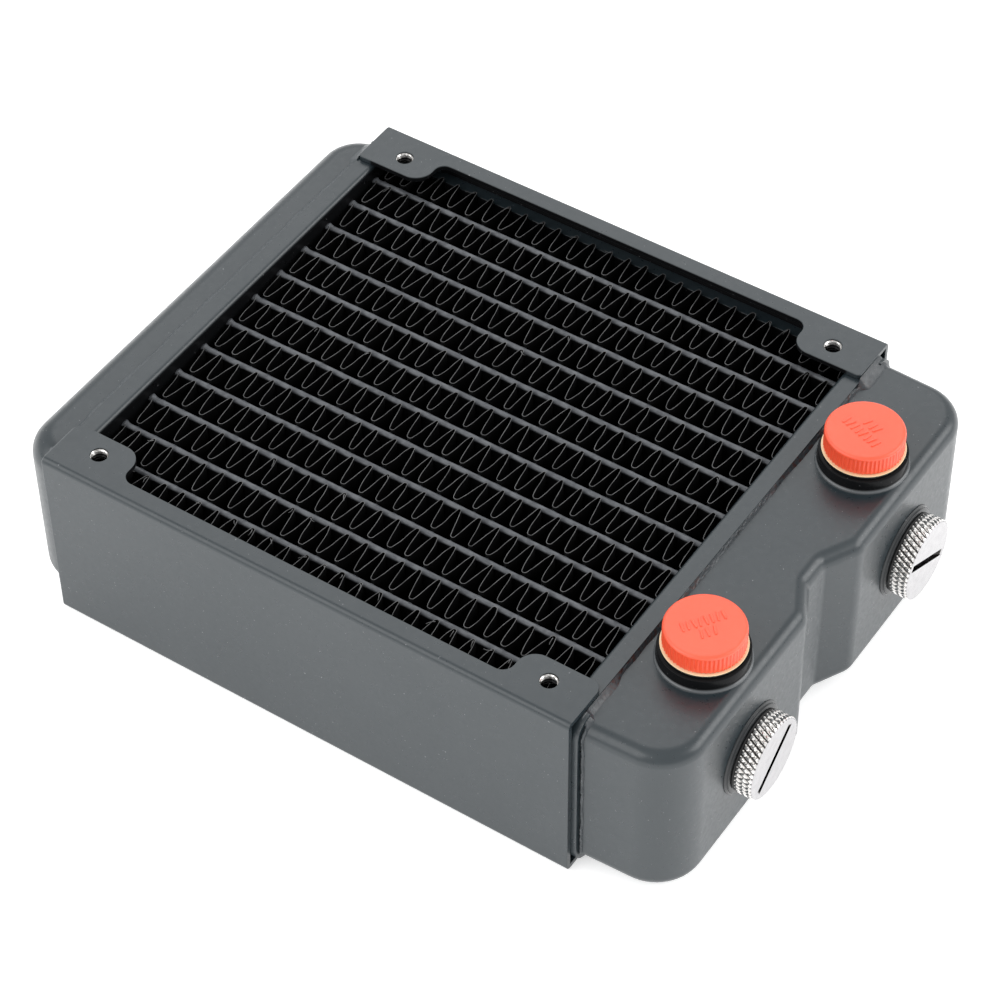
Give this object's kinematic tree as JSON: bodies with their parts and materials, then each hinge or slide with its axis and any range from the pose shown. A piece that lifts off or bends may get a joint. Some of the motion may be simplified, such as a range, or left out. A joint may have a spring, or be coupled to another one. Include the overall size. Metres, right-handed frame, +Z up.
{
  "type": "liquid cooling radiator",
  "caption": "Single-fan liquid cooling radiator with a tube-and-fin core, two tanks, side brackets, threaded ports, screw caps and stop plugs.",
  "frame": {"origin": "centre of the fan-screw square on the underside, in the plane of the lower flanges", "axes": "+X towards the tank with the ports, +Y towards the back bracket, +Z up out of the upper fan face"},
  "size_m": [0.1596, 0.1194, 0.0502],
  "materials": {
    "black_coat": "satin black powder coat on brass and steel sheet",
    "coated_bush": "black coat on turned brass",
    "coated_solder": "lumpy solder under a thin black coat",
    "coated_tube": "thin satin black coat on brass tube",
    "coated_fin": "thin matte black coat on copper foil",
    "bare_brass": "rolled",
    "black_rubber": "smooth",
    "cream_plastic": "smooth moulded",
    "orange_plastic": "fine matte moulded",
    "bright_nickel": "bright nickel plate on knurled brass"
  },
  "bodies": {
    "radiator": {"side_bracket_front": "black_coat", "core_side_plate_front": "black_coat", "side_bracket_back": "black_coat", "core_side_plate_back": "black_coat", "port_header": "black_coat", "return_header": "black_coat", "port_tank": "black_coat", "return_tank": "black_coat", "tank_divider": "bare_brass", "port_tank_seam": "coated_solder", "return_tank_seam": "coated_solder", "tube_01": "coated_tube", "tube_02": "coated_tube", "tube_03": "coated_tube", "tube_04": "coated_tube", "tube_05": "coated_tube", "tube_06": "coated_tube", "tube_07": "coated_tube", "tube_08": "coated_tube", "tube_09": "coated_tube", "tube_10": "coated_tube", "tube_11": "coated_tube", "tube_12": "coated_tube", "fin_strip_01": "coated_fin", "fin_strip_02": "coated_fin", "fin_strip_03": "coated_fin", "fin_strip_04": "coated_fin", "fin_strip_05": "coated_fin", "fin_strip_06": "coated_fin", "fin_strip_07": "coated_fin", "fin_strip_08": "coated_fin", "fin_strip_09": "coated_fin", "fin_strip_10": "coated_fin", "fin_strip_11": "coated_fin", "fin_strip_12": "coated_fin", "fin_strip_13": "coated_fin", "top_port_bush_front": "coated_bush", "top_port_bush_back": "coated_bush", "end_port_bush_front": "coated_bush", "end_port_bush_back": "coated_bush"},
    "cap_seals_front": {"cap_seal_front": "black_rubber", "cap_washer_front": "cream_plastic"},
    "cap_front": {"screw_cap_front": "orange_plastic"},
    "plug_seals_front": {"plug_seal_front": "black_rubber"},
    "plug_front": {"stop_plug_front": "bright_nickel"},
    "cap_seals_back": {"cap_seal_back": "black_rubber", "cap_washer_back": "cream_plastic"},
    "cap_back": {"screw_cap_back": "orange_plastic"},
    "plug_seals_back": {"plug_seal_back": "black_rubber"},
    "plug_back": {"stop_plug_back": "bright_nickel"}
  },
  "joints": [
    {"name": "cap_front_lift", "type": "slide", "parent": "radiator", "child": "cap_seals_front", "axis": [0, 0, 1], "range_m": [0, 0.00668]},
    {"name": "cap_front_turn", "type": "hinge", "parent": "cap_seals_front", "child": "cap_front", "pos_m": [0.0721, -0.03, 0.0444], "axis": [0, 0, 1], "range_deg": [0, 1800]},
    {"name": "cap_back_lift", "type": "slide", "parent": "radiator", "child": "cap_seals_back", "axis": [0, 0, 1], "range_m": [0, 0.00668]},
    {"name": "cap_back_turn", "type": "hinge", "parent": "cap_seals_back", "child": "cap_back", "pos_m": [0.0721, 0.03, 0.0444], "axis": [0, 0, 1], "range_deg": [0, 1800]},
    {"name": "plug_front_lift", "type": "slide", "parent": "radiator", "child": "plug_seals_front", "axis": [1, 0, 0], "range_m": [0, 0.00668]},
    {"name": "plug_front_turn", "type": "hinge", "parent": "plug_seals_front", "child": "plug_front", "pos_m": [0.084, -0.03, 0.0219], "axis": [1, 0, 0], "range_deg": [0, 1800]},
    {"name": "plug_back_lift", "type": "slide", "parent": "radiator", "child": "plug_seals_back", "axis": [1, 0, 0], "range_m": [0, 0.00668]},
    {"name": "plug_back_turn", "type": "hinge", "parent": "plug_seals_back", "child": "plug_back", "pos_m": [0.084, 0.03, 0.0219], "axis": [1, 0, 0], "range_deg": [0, 1800]}
  ],
  "couplings": [
    {"joint": "cap_front_turn", "follows": "cap_front_lift", "rad_per_m": 4699.5},
    {"joint": "cap_back_turn", "follows": "cap_back_lift", "rad_per_m": 4699.5},
    {"joint": "plug_front_turn", "follows": "plug_front_lift", "rad_per_m": 4699.5},
    {"joint": "plug_back_turn", "follows": "plug_back_lift", "rad_per_m": 4699.5}
  ]
}
